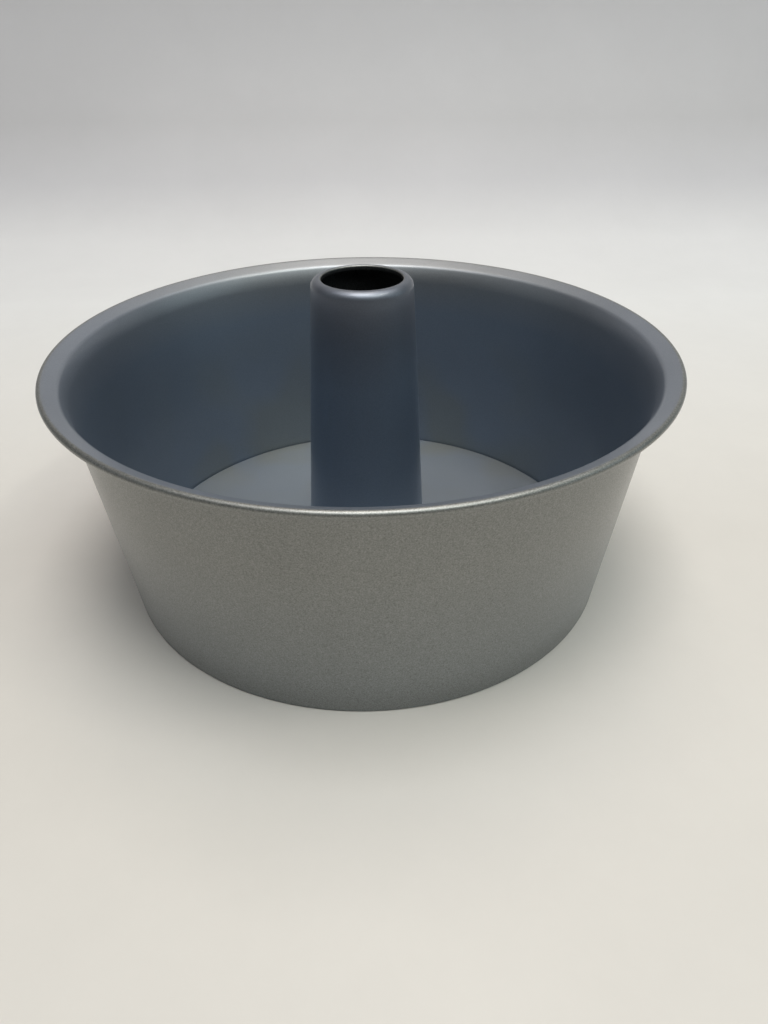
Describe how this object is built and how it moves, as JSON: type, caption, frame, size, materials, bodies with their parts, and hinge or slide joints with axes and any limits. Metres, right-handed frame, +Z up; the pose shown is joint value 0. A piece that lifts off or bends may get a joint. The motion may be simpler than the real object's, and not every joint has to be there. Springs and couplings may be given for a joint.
{
  "type": "angel food cake pan",
  "caption": "Round tube cake pan: a tapered outer ring with a flared, curled rim, and a lift-out flat base with a tapered hollow centre tube.",
  "frame": {"origin": "on the pan's axis, at the underside of the outer ring's ledge, where the pan stands on a table", "axes": "+Z up along the pan's axis, out of the mouth; the pan is round, so +X and +Y are any two square directions"},
  "size_m": [0.254, 0.254, 0.1286],
  "materials": {
    "ring_coating": "satin metallic grey non-stick coating with a fine fleck, on sheet steel",
    "plate_coating": "satin metallic grey non-stick coating with a fine fleck, on sheet steel",
    "tube_coating": "satin metallic grey non-stick coating with a fine fleck, on sheet steel"
  },
  "bodies": {
    "ring": {"outer_ring": "ring_coating"},
    "core": {"base_plate": "plate_coating", "centre_tube": "tube_coating"}
  },
  "joints": [
    {"name": "core_lift", "type": "slide", "parent": "ring", "child": "core", "axis": [0, 0, 1], "range_m": [0, 0.12]}
  ]
}
